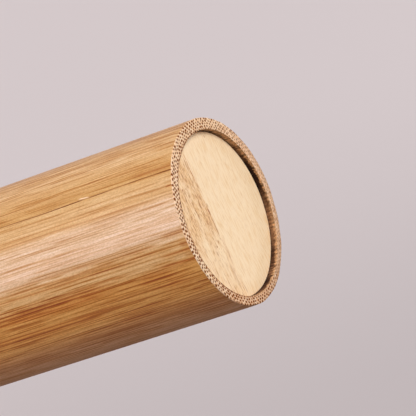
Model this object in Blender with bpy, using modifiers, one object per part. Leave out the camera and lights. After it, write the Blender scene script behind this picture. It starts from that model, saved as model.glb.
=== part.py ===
"""Bamboo travel toothbrush case: a body and a pull-off cap cut from one culm, each closed by a glued-in disc.

The case stands on the body's base rim. The origin is the centre of the bore in the plane of that rim,
and +Z runs up the bore towards the cap. Sizes are in metres.
"""

import math

import bmesh
import bpy
from mathutils import Vector

MM = 0.001

# The culm, which is a natural stem: a little oval, a little three-cornered and a little tapered
OVERALL_LENGTH = 210 * MM
CULM_RADIUS = 14.45 * MM
CULM_TAPER = 0.15 * MM
OVAL_HEIGHT = 0.13 * MM
OVAL_ANGLE = math.radians(0)
LOBE_HEIGHT = 0.08 * MM
LOBE_ANGLE = math.radians(108)

# How far the culm's own centre lies from the axis that it is bored and turned about
CULM_SHIFT = Vector((-0.22 * MM, -0.06 * MM))

# The walls that boring and turning leave, which are truly round inside
RIM_WALL = 1.7 * MM
SOCKET_WALL = 1.5 * MM
NECK_WALL = 1.5 * MM

# The end discs, which sit on a step in each seat, just below the rim
DISC_THICKNESS = 4.0 * MM
DISC_RECESS = 1.0 * MM
DISC_EASE = 0.1 * MM
GLUE_GAP = 0.12 * MM

# The pull-off joint, where the cap's socket slides over the body's neck
CAP_LENGTH = 54 * MM
NECK_LENGTH = 12 * MM
SLIDE_CLEARANCE = 0.15 * MM
NECK_END_CLEARANCE = 0.5 * MM
SEAM_GAP = 0.2 * MM

# Eased edges
RIM_EASE = 0.15 * MM
SEAM_EASE = 0.2 * MM
LEAD_IN = 0.5 * MM
INNER_EASE = 0.1 * MM

# How finely round forms are cut into flats
TURN_STEPS = 96
EASE_STEPS = 3

# What follows from the sizes above, from the culm inwards and then from the cap's end downwards
SEAT_RADIUS = CULM_RADIUS - RIM_WALL
DISC_RADIUS = SEAT_RADIUS - GLUE_GAP
SOCKET_RADIUS = CULM_RADIUS - SOCKET_WALL
NECK_RADIUS = SOCKET_RADIUS - SLIDE_CLEARANCE
BORE_RADIUS = NECK_RADIUS - NECK_WALL
SEAT_DEPTH = DISC_RECESS + DISC_THICKNESS + GLUE_GAP
SOCKET_DEPTH = NECK_LENGTH - SEAM_GAP + NECK_END_CLEARANCE
CAP_EDGE_Z = OVERALL_LENGTH - CAP_LENGTH
SHOULDER_Z = CAP_EDGE_Z - SEAM_GAP
MOUTH_Z = SHOULDER_Z + NECK_LENGTH

SKIN_COLOUR = (0.62, 0.36, 0.14, 1.0)
DISC_COLOUR = (0.86, 0.68, 0.42, 1.0)


def clear_scene():
    """Start from nothing, so that the case is all that the scene holds."""
    for old in list(bpy.data.objects):
        bpy.data.objects.remove(old)


def wood(name, colour, roughness):
    """A plain wood material: sanded bamboo, not metallic."""
    material = bpy.data.materials.new(name)
    material.use_nodes = True
    shader = material.node_tree.nodes["Principled BSDF"]
    shader.inputs["Base Color"].default_value = colour
    shader.inputs["Roughness"].default_value = roughness
    shader.inputs["Metallic"].default_value = 0.0
    return material


def culm_radius(z):
    """The culm's mean radius at a height, which shrinks from the base to the cap's end."""
    return CULM_RADIUS + CULM_TAPER * (1 - z / OVERALL_LENGTH)


def culm_stand_off(angle):
    """How far the culm's outline stands outside a true circle at an angle about its own centre."""
    oval = OVAL_HEIGHT * math.cos(2 * (angle - OVAL_ANGLE))
    lobes = LOBE_HEIGHT * math.cos(3 * (angle - LOBE_ANGLE))
    return oval + lobes


def eased_profile(corners):
    """Round off a closed outline's corners.

    Each corner is (radius, height, ease, on_skin). A corner with an ease becomes a curve that starts and
    ends that far from it along its two sides. Returns (radius, height, on_skin) points.
    """
    points = []
    for index, (radius, height, ease, on_skin) in enumerate(corners):
        corner = Vector((radius, height))
        if not ease:
            points.append((radius, height, on_skin))
            continue
        before = Vector(corners[index - 1][:2])
        after = Vector(corners[(index + 1) % len(corners)][:2])
        start = corner + ease * (before - corner).normalized()
        end = corner + ease * (after - corner).normalized()
        for step in range(EASE_STEPS + 1):
            share = step / EASE_STEPS
            point = start.lerp(corner, share).lerp(corner.lerp(end, share), share)
            points.append((point.x, point.y, on_skin))
    return points


def turned_from_culm(name, corners, material):
    """Turn a profile about Z with a Screw modifier, then give its skin points the culm's natural outline."""
    profile = bpy.data.meshes.new(name + "_profile")
    points = eased_profile(corners)
    loop = [(index, (index + 1) % len(points)) for index in range(len(points))]
    profile.from_pydata([(radius, 0, height) for radius, height, _ in points], loop, [])
    blank = bpy.data.objects.new(name + "_blank", profile)
    bpy.context.scene.collection.objects.link(blank)

    skin = blank.vertex_groups.new(name="skin")
    skin.add([index for index, point in enumerate(points) if point[2]], 1.0, "REPLACE")

    screw = blank.modifiers.new("Turn", "SCREW")
    screw.axis = "Z"
    screw.angle = math.tau
    screw.steps = TURN_STEPS
    screw.render_steps = TURN_STEPS
    screw.use_merge_vertices = True
    screw.merge_threshold = 0.01 * MM

    graph = bpy.context.evaluated_depsgraph_get()
    mesh = bpy.data.meshes.new_from_object(
        blank.evaluated_get(graph), preserve_all_data_layers=True, depsgraph=graph
    )
    bpy.data.objects.remove(blank)
    for vertex in mesh.vertices:
        if vertex.groups:
            round_place = vertex.co.xy
            outward = round_place.normalized()
            angle = math.atan2(outward.y, outward.x)
            vertex.co.xy = round_place + outward * culm_stand_off(angle) + CULM_SHIFT
    return finished(name, mesh, material)


def turned_disc(name, material):
    """A flat disc with eased edges, standing on its lower face."""
    mesh = bpy.data.meshes.new(name)
    shape = bmesh.new()
    bmesh.ops.create_cone(
        shape,
        cap_ends=True,
        segments=TURN_STEPS,
        radius1=DISC_RADIUS,
        radius2=DISC_RADIUS,
        depth=DISC_THICKNESS,
    )
    bmesh.ops.translate(shape, verts=shape.verts, vec=(0, 0, DISC_THICKNESS / 2))
    shape.to_mesh(mesh)
    shape.free()
    disc = finished(name, mesh, material)
    ease = disc.modifiers.new("Ease edges", "BEVEL")
    ease.width = DISC_EASE
    ease.segments = 2
    ease.limit_method = "ANGLE"
    ease.angle_limit = math.radians(60)
    return disc


def finished(name, mesh, material):
    """Put a mesh in the case's collection as a named object, shaded smooth up to its edges."""
    mesh.name = name
    mesh.materials.clear()
    mesh.materials.append(material)
    mesh.shade_smooth()
    mesh.set_sharp_from_angle(angle=math.radians(40))
    made = bpy.data.objects.new(name, mesh)
    case_collection.objects.link(made)
    return made


def place(piece, parent, height):
    """Hang a piece on its parent, at a height above it."""
    piece.parent = parent
    piece.location = (0, 0, height)


def axis_empty(name, height, parent=None):
    """An empty on the bore's axis that pieces hang on."""
    empty = bpy.data.objects.new(name, None)
    empty.empty_display_size = CULM_RADIUS
    case_collection.objects.link(empty)
    empty.parent = parent
    empty.location = (0, 0, height)
    return empty


def body_tube(material):
    """The long part: base rim and disc seat below, a shoulder and a turned-down neck above."""
    corners = [
        (NECK_RADIUS, MOUTH_Z, LEAD_IN, False),
        (NECK_RADIUS, SHOULDER_Z, 0, False),
        (culm_radius(SHOULDER_Z), SHOULDER_Z, SEAM_EASE, True),
        (culm_radius(0), 0, RIM_EASE, True),
        (SEAT_RADIUS, 0, INNER_EASE, False),
        (SEAT_RADIUS, SEAT_DEPTH, 0, False),
        (BORE_RADIUS, SEAT_DEPTH, 0, False),
        (BORE_RADIUS, MOUTH_Z, INNER_EASE, False),
    ]
    return turned_from_culm("body_tube", corners, material)


def cap_tube(material):
    """The short part: a socket for the neck below, a disc seat and the end rim above."""
    seat_step = CAP_LENGTH - SEAT_DEPTH
    corners = [
        (culm_radius(OVERALL_LENGTH), CAP_LENGTH, RIM_EASE, True),
        (culm_radius(CAP_EDGE_Z), 0, SEAM_EASE, True),
        (SOCKET_RADIUS, 0, LEAD_IN, False),
        (SOCKET_RADIUS, SOCKET_DEPTH, 0, False),
        (BORE_RADIUS, SOCKET_DEPTH, INNER_EASE, False),
        (BORE_RADIUS, seat_step, 0, False),
        (SEAT_RADIUS, seat_step, 0, False),
        (SEAT_RADIUS, CAP_LENGTH, INNER_EASE, False),
    ]
    return turned_from_culm("cap_tube", corners, material)


clear_scene()
case_collection = bpy.data.collections.new("travel_toothbrush_case")
bpy.context.scene.collection.children.link(case_collection)

skin_wood = wood("culm_bamboo", SKIN_COLOUR, 0.5)
disc_wood = wood("disc_bamboo", DISC_COLOUR, 0.6)

case_origin = axis_empty("case_origin", 0)
cap_slide = axis_empty("cap_slide", CAP_EDGE_Z, case_origin)

place(body_tube(skin_wood), case_origin, 0)
place(turned_disc("base_disc", disc_wood), case_origin, DISC_RECESS)
place(cap_tube(skin_wood), cap_slide, 0)
place(turned_disc("cap_disc", disc_wood), cap_slide, CAP_LENGTH - DISC_RECESS - DISC_THICKNESS)
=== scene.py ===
# %% [markdown]
# # A travel toothbrush case in natural bamboo
# The case is two lengths of one bamboo culm. The long one is the body and the short one is the cap, which
# pulls off a neck turned on the body. A bamboo disc is glued into each outer end. Everything here is
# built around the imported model, in its frame: +Z up the tube, origin at the centre of the base. All sizes
# in this script are millimetres, and each mesh is scaled to metres when it is made.

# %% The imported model
import math

import bpy
from mathutils import Matrix, Vector, noise


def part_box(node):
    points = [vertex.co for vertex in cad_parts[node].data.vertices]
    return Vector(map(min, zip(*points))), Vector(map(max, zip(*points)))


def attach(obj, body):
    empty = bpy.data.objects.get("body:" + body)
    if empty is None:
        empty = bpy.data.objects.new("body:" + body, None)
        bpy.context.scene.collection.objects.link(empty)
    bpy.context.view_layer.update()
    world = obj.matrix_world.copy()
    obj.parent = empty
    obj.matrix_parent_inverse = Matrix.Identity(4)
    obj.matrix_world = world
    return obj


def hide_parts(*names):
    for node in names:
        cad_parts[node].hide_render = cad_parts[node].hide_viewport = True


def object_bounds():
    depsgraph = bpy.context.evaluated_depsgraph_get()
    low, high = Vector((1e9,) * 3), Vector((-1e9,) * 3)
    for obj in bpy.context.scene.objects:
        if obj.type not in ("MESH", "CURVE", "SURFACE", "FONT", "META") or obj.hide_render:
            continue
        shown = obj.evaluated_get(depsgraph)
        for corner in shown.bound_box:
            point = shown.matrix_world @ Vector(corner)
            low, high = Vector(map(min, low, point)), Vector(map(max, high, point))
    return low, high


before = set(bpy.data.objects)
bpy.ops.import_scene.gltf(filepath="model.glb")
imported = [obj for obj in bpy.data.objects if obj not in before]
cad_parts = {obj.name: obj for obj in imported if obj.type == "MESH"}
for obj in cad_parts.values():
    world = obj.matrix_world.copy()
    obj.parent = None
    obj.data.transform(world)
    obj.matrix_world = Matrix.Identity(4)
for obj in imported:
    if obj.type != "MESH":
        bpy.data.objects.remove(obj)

MM = 0.001
packed_low, packed_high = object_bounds()
END_Z = packed_high.z / MM
CAP_EDGE_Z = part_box("cap_tube")[0].z / MM
MOUTH_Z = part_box("body_tube")[1].z / MM
print("the case is", round(END_Z, 1), "mm long, and its cap", round(END_Z - CAP_EDGE_Z, 1))

# %% [markdown]
# ## The camera
# The photograph looks down on the cap's end from 30 degrees above the horizon, through a long lens, with
# the camera rolled so far that the upright tube seems to come in from the left. So the camera is placed
# by what a photographer would know: where it aims, from how far, how steeply and with how much roll. The
# aim then leaves the frame's middle by moving the camera sideways in its own plane.

# %% Camera
AIM = Vector((-0.31, -0.19, END_Z))
VIEW_DISTANCE = 473.5
VIEW_ELEVATION = math.radians(30.04)
VIEW_ROLL = math.radians(71.3)
AIM_RIGHT_OF_MIDDLE = 2.885
AIM_BELOW_MIDDLE = 0.304
LENS = 276.9

camera_data = bpy.data.cameras.new("camera")
camera_data.lens = LENS
camera_data.sensor_width = 36
camera = bpy.data.objects.new("camera", camera_data)
bpy.context.scene.collection.objects.link(camera)
bpy.context.scene.camera = camera

pitch = Matrix.Rotation(math.pi / 2 - VIEW_ELEVATION, 4, "X")
turn = pitch @ Matrix.Rotation(VIEW_ROLL, 4, "Z")
offset = Vector((-AIM_RIGHT_OF_MIDDLE, AIM_BELOW_MIDDLE, VIEW_DISTANCE))
camera.matrix_world = Matrix.Translation((AIM + turn.to_3x3() @ offset) * MM) @ turn
print("the camera is at", [round(value, 3) for value in camera.matrix_world.translation])

# %% [markdown]
# ## Shader maths as plain formulas
# Bamboo is drawn here by formulas of angle, depth and height, and a formula is hard to read as a tangle
# of nodes. So a small class stands for one socket, and `a * b + 1` on such sockets adds the Math nodes.
# All the other nodes come from one method, `node`, which sets the node's own settings first and its
# sockets after them.


# %% A socket that can be used in a formula
def operator_pair(operation):
    """An operator, and its reflected form for a plain number that stands before the signal."""
    def plain(self, other):
        return self.finish.maths(operation, self, other)

    def reflected(self, other):
        return self.finish.maths(operation, other, self)

    return plain, reflected


class Signal:
    """One output of a shader node. Formulas on signals add the Math nodes that work them out."""

    def __init__(self, finish, socket):
        self.finish = finish
        self.socket = socket

    __add__, __radd__ = operator_pair("ADD")
    __sub__, __rsub__ = operator_pair("SUBTRACT")
    __mul__, __rmul__ = operator_pair("MULTIPLY")
    __truediv__, __rtruediv__ = operator_pair("DIVIDE")
    __mod__, __rmod__ = operator_pair("FLOORED_MODULO")

    def __abs__(self):
        return self.finish.maths("ABSOLUTE", self)


# %% The nodes of a material
class NodeMaker:
    """Adds nodes to a material, or to another owner of nodes such as a world."""

    def __init__(self, name, owner=None):
        self.material = owner or bpy.data.materials.new(name)
        self.material.use_nodes = True
        self.tree = self.material.node_tree
        self.tree.nodes.clear()

    def node(self, kind, settings=None, sockets=None, output=0):
        """Add a node, set its settings and then its sockets' values or links, and return one output."""
        added = self.tree.nodes.new("ShaderNode" + kind)
        for name, value in (settings or {}).items():
            if name == "stops":
                self.set_stops(added.color_ramp, value)
            else:
                setattr(added, name, value)
        for name, value in (sockets or {}).items():
            if isinstance(value, Signal):
                self.tree.links.new(value.socket, added.inputs[name])
            else:
                added.inputs[name].default_value = value
        return Signal(self, added.outputs[output]) if added.outputs else None

    def set_stops(self, ramp, stops):
        """Give a colour ramp its stops, each (position, colour or level)."""
        while len(ramp.elements) < len(stops):
            ramp.elements.new(1.0)
        for element, (position, level) in zip(ramp.elements, stops):
            element.position = position
            element.color = (*level, 1.0) if isinstance(level, tuple) else (level, level, level, 1.0)

    def maths(self, operation, *values):
        """One step of a formula."""
        return self.node("Math", {"operation": operation}, dict(enumerate(values)))

    def split(self, vector, kind="SeparateXYZ"):
        """The three parts of a vector, or of a colour with the kind SeparateColor."""
        first = self.node(kind, {}, {0: vector})
        return [Signal(self, socket) for socket in first.socket.node.outputs]

    def vector(self, x, y, z):
        """Three numbers as one vector."""
        return self.node("CombineXYZ", {}, {0: x, 1: y, 2: z})


# %% A finish, with what finishes are made of
class Finish(NodeMaker):
    """A material with steps that draw a figure, lay one tone over another, and end in a surface."""

    def rise(self, value, low, high):
        """0 below low and 1 above high, with a smooth rise between. It falls where low is above high."""
        sockets = {"Value": value, "From Min": low, "From Max": high}
        return self.node("MapRange", {"interpolation_type": "SMOOTHSTEP"}, sockets)

    def within(self, value, start, stop, fade):
        """1 from start to stop, with a smooth fall to 0 inside each end."""
        return self.rise(value, start, start + fade) * self.rise(value, stop, stop - fade)

    def graded(self, place, bands):
        """A colour or a level that changes with the place, from bands of (place, colour or level)."""
        reach = bands[-1][0]
        stops = [(start / reach, level) for start, level in bands]
        return self.node("ValToRGB", {"stops": stops}, {0: place * (1 / reach)})

    def mottle(self, place, detail=2.0, roughness=0.5):
        """Soft noise from 0 to 1, with a mean near 0.5 and spots about one unit of place across."""
        sockets = {"Vector": place, "Scale": 1.0, "Detail": detail, "Roughness": roughness}
        return self.node("TexNoise", {"noise_dimensions": "3D"}, sockets)

    def blend(self, share, first, second, how="MIX"):
        """Blend the second colour over the first one, by a share from 0 to 1."""
        first, second = [c if isinstance(c, Signal) else (*c, 1.0) for c in (first, second)]
        settings = {"data_type": "RGBA", "blend_type": how, "clamp_factor": True}
        return self.node("Mix", settings, {0: share, 6: first, 7: second}, output=2)

    def stain(self, share, colour, tone):
        """Multiply a colour by a tone, by a share from 0 to 1."""
        return self.blend(share, colour, tone, "MULTIPLY")

    def surface(self, colour, roughness, height, relief, **fixed):
        """End with a Principled BSDF. The relief is how far in mm the surface rises from height 0 to 1."""
        normal = self.node("Bump", {}, {"Strength": 1.0, "Distance": relief * MM, "Height": height})
        sockets = {"Base Color": colour, "Roughness": roughness, "Normal": normal, **fixed}
        shader = self.node("BsdfPrincipled", {}, sockets)
        self.node("OutputMaterial", {}, {"Surface": shader})
        print("the finish", self.material.name, "has", len(self.tree.nodes), "nodes")
        return self.material


# %% [markdown]
# ## The shape of the culm
# A culm is a natural stem: a little oval, a little three-cornered, and thinner towards the tip. Its
# outline is one formula of angle and height, about a centre that lies a little off the axis of the bore,
# because boring never hits a stem's true centre. The meshes and the materials both use this formula, so
# the fibre rows in the end grain follow the skin just as they do in the plant.

# %% The culm's outline
CULM_RADIUS = 14.45
CULM_TAPER = 0.15
OVAL_HEIGHT = 0.13
OVAL_ANGLE = 0
LOBE_HEIGHT = 0.08
LOBE_ANGLE = 108
CULM_CENTRE = Vector((-0.22, -0.06, 0))


def mean_radius(height):
    """The culm's mean radius at a height."""
    return CULM_RADIUS + CULM_TAPER * (1 - height / END_Z)


def culm_stand_off(angle):
    """How far the outline stands outside a true circle, at an angle in degrees about the culm's centre."""
    oval = OVAL_HEIGHT * math.cos(math.radians(2 * (angle - OVAL_ANGLE)))
    lobes = LOBE_HEIGHT * math.cos(math.radians(3 * (angle - LOBE_ANGLE)))
    return oval + lobes


radii = [round(mean_radius(height), 2) for height in (END_Z, 0)]
print("the culm's radius is", radii[0], "mm at the cap's end and", radii[1], "mm at the foot")

# %% [markdown]
# ## Where a point lies in the plant
# Bamboo's figure belongs to the stem and not to the piece cut from it. So every finish starts from the
# same measures: the angle round the culm, the depth under the skin, and the distance below the cap's end.
# The streaks then run on across the joint between the body and the cap, as they do on a case cut from one
# stem.


# %% A finish that knows the plant
class Bamboo(Finish):
    """A finish with signals for a point's place in the culm, in mm, and for its angle in degrees."""

    def __init__(self, name):
        super().__init__(name)
        place = self.node("TexCoord", output="Object")
        self.x, self.y, self.z = [part * (1 / MM) for part in self.split(place)]
        east = self.x - CULM_CENTRE.x
        north = self.y - CULM_CENTRE.y
        self.angle = self.maths("ARCTAN2", north, east) * math.degrees(1) % 360
        self.radius = self.maths("SQRT", east * east + north * north)
        oval = self.wave(2, OVAL_ANGLE) * OVAL_HEIGHT
        lobes = self.wave(3, LOBE_ANGLE) * LOBE_HEIGHT
        skin = oval + lobes + self.z * (-CULM_TAPER / END_Z) + (CULM_RADIUS + CULM_TAPER)
        self.depth = skin - self.radius
        self.below_end = END_Z - self.z

    def wave(self, count, angle):
        """A cosine with this many waves round the culm and a crest at this angle."""
        return self.maths("COSINE", (self.angle - angle) * math.radians(count))

    def banded(self, bands):
        """A colour or a level that changes round the stem, from bands of (angle, colour or level)."""
        return self.graded(self.angle, bands)

    def streaks(self, width, length, shift=0.0, **noise_settings):
        """Noise whose spots are this wide across the stem and this long along it."""
        across = 1 / width
        place = self.vector(self.x * across + shift, self.y * across, self.z * (1 / length))
        return self.mottle(place, **noise_settings)

    def nearest_bundle(self, row, count, sway=0.0):
        """The number of the nearest bundle of a row of this many, and how far off it is, in pitches."""
        along = self.angle * (count / 360) + row * 0.5 + sway
        number = self.maths("FLOOR", along)
        return number % count, along - number - 0.5

    def chances(self, number, row):
        """Three random numbers from 0 to 1 that belong to one bundle."""
        seed = {"Vector": self.vector(number, row, 0.0)}
        drawn = self.node("TexWhiteNoise", {"noise_dimensions": "3D"}, seed, output="Color")
        return self.split(drawn, "SeparateColor")


print("the plant's centre is", round(CULM_CENTRE.length, 2), "mm from the bore's axis")

# %% [markdown]
# ## One crack
# A hairline crack runs down the skin from the rim. About 15 mm below the rim a pale splinter bridges it,
# and below that it opens again. It is a real groove in the mesh, and the material paints it dark, partly
# with a stain and partly with painted shadow in the groove. Both take its path and its strength from here.

# %% The crack's path and strength
# Angles and widths are in degrees, and distances below the cap's end in mm. A sway is its size and length
CRACK_ANGLE = 234.65
CRACK_DEPTH = 0.15
CRACK_HALF_WIDTH = 0.26
CRACK_SWAYS = ((-0.28, 28), (0.08, 13))
CRACK_STRENGTH = (
    (0, 0.95), (1.5, 0.85), (3, 0.5), (7, 0.8), (9, 0.4), (11, 0.55), (13, 0.9), (14.4, 0.8), (15.2, 0.25),
    (15.9, 0.4), (17, 0.95), (19, 1.0), (21, 0.9), (23, 0.75), (27, 0.65), (30, 0.5), (33, 0.5), (48, 0.6),
    (62, 0.4), (76, 0.0),
)
SPLINTER_ANGLE = 233.8
SPLINTER_SLANT = -0.36
SPLINTER_SPAN = (14.7, 17.1)
SPLINTER_HALF_WIDTH = 0.5


def crack_angle(height):
    """The crack's angle at a height, in degrees. It sways a little, as a split between fibres does."""
    return CRACK_ANGLE + sum(size * math.sin(math.tau * height / length) for size, length in CRACK_SWAYS)


def crack_strength(below_end):
    """How open the crack is, from 0 to 1, at a distance below the cap's end."""
    for (start, first), (stop, last) in zip(CRACK_STRENGTH, CRACK_STRENGTH[1:]):
        if start <= below_end <= stop:
            return first + (last - first) * (below_end - start) / (stop - start)
    return 0.0


print("the crack ends", CRACK_STRENGTH[-1][0], "mm below the rim")

# %% [markdown]
# ## The skin's finish
# The skin of the culm was scraped and then sanded along the fibres. What is left is a satin, golden
# surface with hair-fine brown fibre lines, 0.2 to 0.6 mm apart and 5 to 40 mm long. Round the stem the
# ground colour changes in broad bands, and single veins stand out where scraping went deeper. Noise that
# is squeezed round the stem and drawn out along it makes the lines, a colour ramp by angle makes the
# bands, and a short list holds the veins that one would know this stem by.

# %% Skin colours
GOLD = (0.77, 0.47, 0.205)
OCHRE = (0.70, 0.40, 0.165)
AMBER = (0.70, 0.39, 0.135)
STRAW = (0.79, 0.48, 0.215)
LIGHT_STRAW = (0.81, 0.515, 0.255)
# From 253 to 272 degrees the skin is pale partly by its own tone and partly by a painted sheen
PALE_GOLD_WITH_SHEEN = (0.85, 0.56, 0.345)
PALEST_WITH_SHEEN = (0.93, 0.62, 0.41)
LIGHT_HONEY = (0.81, 0.48, 0.205)
HONEY = (0.79, 0.385, 0.097)
TAWNY = (0.61, 0.285, 0.107)
# From 334 to 348 degrees, by the lower edge, the russet is partly the skin's own and partly a painted
# reflection that lightens it
RUSSET_WITH_REFLECTION = (0.73, 0.395, 0.215)
SKIN_BANDS = (
    (0, TAWNY), (12, OCHRE), (30, GOLD), (75, HONEY), (110, GOLD), (150, STRAW), (182, GOLD), (190, OCHRE),
    (202, GOLD), (212, LIGHT_STRAW), (222, GOLD), (233, AMBER), (236, GOLD), (242, LIGHT_STRAW),
    (248, STRAW), (253, PALE_GOLD_WITH_SHEEN), (259, PALE_GOLD_WITH_SHEEN), (264, PALEST_WITH_SHEEN), (268, PALEST_WITH_SHEEN), (272, PALE_GOLD_WITH_SHEEN),
    (278, LIGHT_HONEY), (287, LIGHT_HONEY), (293, HONEY), (312, HONEY), (326, TAWNY), (334, RUSSET_WITH_REFLECTION),
    (348, RUSSET_WITH_REFLECTION), (360, TAWNY),
)
LINE_SHADE = (0.54, 0.30, 0.03)
LINE_HALO = (0.96, 0.86, 0.62)
FIBRE_SHADE = (0.70, 0.50, 0.26)
FIBRE_LIGHT = (1.14, 1.26, 1.50)
GRIT_SHADE = (0.86, 0.82, 0.76)
VEIN_SHADE = (0.57, 0.24, 0.0)
VEIN_HALO = (0.90, 0.70, 0.34)
CRACK_STAIN_AND_SHADOW = (0.34, 0.11, 0.01)
SPLINTER_PALE = (1.0, 0.74, 0.50)

# How strongly the fibre lines show, by angle
LINE_BANDS = (
    (0, 0.3), (40, 0.6), (120, 0.6), (186, 0.8), (198, 1.2), (212, 1.2), (220, 0.6), (230, 0.7),
    (237, 0.35), (245, 0.35), (252, 0.55), (268, 0.8), (276, 0.85), (284, 1.1), (290, 1.3), (298, 1.3),
    (306, 1.0), (312, 0.85), (324, 1.1), (340, 1.1), (352, 0.8), (360, 0.3),
)
print("the skin has", len(SKIN_BANDS), "bands of ground colour")

# %% Veins
# Each vein: angle and half width in degrees, where it starts and ends below the cap's end, strength
VEINS = (
    (208.6, 0.6, -1, 16, 0.4), (216.6, 0.5, -1, 16, 0.25), (220.6, 0.6, 17, 60, 0.3),
    (223.0, 0.5, -1, 15, 0.3), (226.0, 0.5, 3, 15, 0.35), (231.8, 2.6, -1, 8, 0.4),
    (244.5, 0.6, -1, 1.5, 0.9), (246.7, 0.5, 1, 60, 0.45), (249.4, 0.7, 3, 60, 0.45),
    (254.8, 0.4, 6, 18, 0.25), (269.6, 0.5, 2, 60, 0.25), (271.6, 0.6, -1, 4.5, 0.5),
    (273.2, 0.6, -1, 4.5, 0.55), (274.5, 0.5, 12, 70, 0.55), (276.1, 0.5, 3.5, 12, 0.5),
    (278.1, 0.5, 12, 70, 0.6), (279.4, 0.5, 5, 11, 0.6), (280.0, 2.6, -1, 1.8, 0.5),
    (281.1, 0.6, 8, 120, 0.8), (283.6, 0.8, -1, 6, 0.9), (287.0, 0.5, -1, 1.8, 0.5),
    (287.3, 0.6, 8, 120, 0.65), (289.7, 0.8, -1, 7, 0.95), (289.6, 0.8, 12, 120, 0.85),
    (291.8, 0.8, 13, 120, 0.9), (293.3, 0.6, 4, 11, 0.7), (294.8, 0.8, 13.5, 120, 0.8),
    (296.0, 0.7, 3.5, 12, 0.85), (298.5, 0.8, 2.5, 7, 0.4), (301.5, 0.7, 2, 10.5, 0.7),
    (303.5, 0.6, 1.5, 8.5, 0.5), (305.1, 0.8, 14, 90, 0.8), (305.8, 0.6, -1, 2.6, 0.6),
    (307.7, 1.0, 16, 60, 0.75), (308.5, 0.5, -1, 2.2, 0.5), (310.4, 0.6, 1.5, 4, 0.6),
    (311.6, 0.6, 6, 60, 0.35), (315.2, 0.7, 10.5, 18, 0.4), (317.7, 0.8, 10.5, 18.5, 0.6),
    (319.3, 0.6, 3.5, 8.5, 0.5), (324.0, 0.6, -1, 70, 0.45),
)
LONGEST_FADE = 7.0
FADE_SHARE = 0.3
VEIN_SWAY = 0.8
VEIN_SLOPE = 0.035
HALO_REACH = 3.2
print(len(VEINS), "veins stand out in the skin")

# %% Lines, veins, crack and splinter
# A fine line's sway, its edge and its halo's edge are in pitches from one line to the next
SKIN_LINES_ROUND = 174
LINE_LENGTHS = (11.0, 6.0)
LINE_SWAY = 1.6
LINE_EDGE = (0.25, 0.08)
HALO_EDGE = (0.48, 0.10)
SPLINTER_TIP = 0.8


def lines_on(wood, row):
    """Fine dark lines, one over each bundle of a row, that come and go, and the stain beside them."""
    sway = (wood.streaks(5.0, 40.0, shift=7.0) - 0.5) * LINE_SWAY
    number, off = wood.nearest_bundle(row, SKIN_LINES_ROUND, sway)
    sideways, strength, _ = wood.chances(number, row)
    run = wood.mottle(wood.vector(number * 1.7, wood.z / LINE_LENGTHS[row], row + 0.5), detail=1.0)
    away = abs(off + (sideways - 0.5) * 0.5)
    present = wood.rise(run, 0.40, 0.60) * (strength * 0.75 + 0.25)
    return wood.rise(away, *LINE_EDGE) * present, wood.rise(away, *HALO_EDGE) * present


def veins_on(wood):
    """How much of the veins' stain a point has, and how much of the orange that spreads round them."""
    stain = 0.0
    spread = 0.0
    sway = wood.streaks(6.0, 30.0, shift=7.0) - 0.5
    angle_here = wood.angle + sway * VEIN_SWAY + wood.below_end * VEIN_SLOPE
    for angle, half_width, start, stop, strength in VEINS:
        off = abs(angle_here - angle)
        fade = min(LONGEST_FADE, FADE_SHARE * (stop - start))
        begun = wood.rise(wood.below_end, start, start + fade) if start > 0 else 1.0
        present = wood.rise(wood.below_end, stop, stop - fade) * strength * begun
        stain = wood.rise(off, half_width, 0.2 * half_width) * present + stain
        spread = wood.rise(off, HALO_REACH * half_width, 0.0) * present + spread
    return stain, spread


def crack_on(wood):
    """How dark the crack makes a point, from 0 to 1."""
    away = wood.angle - CRACK_ANGLE
    for size, length in CRACK_SWAYS:
        away = away - wood.maths("SINE", wood.z * (math.tau / length)) * size
    strength = wood.graded(wood.below_end, CRACK_STRENGTH)
    return wood.rise(abs(away), 2 * CRACK_HALF_WIDTH, 0.3 * CRACK_HALF_WIDTH) * strength


def splinter_on(wood):
    """How much a point lies on the splinter that bridges the crack, from 0 to 1."""
    middle = sum(SPLINTER_SPAN) / 2
    away = abs(wood.angle - SPLINTER_ANGLE - (wood.below_end - middle) * SPLINTER_SLANT)
    along = wood.within(wood.below_end, *SPLINTER_SPAN, SPLINTER_TIP)
    return wood.rise(away, SPLINTER_HALF_WIDTH, 0.3 * SPLINTER_HALF_WIDTH) * along


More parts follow.
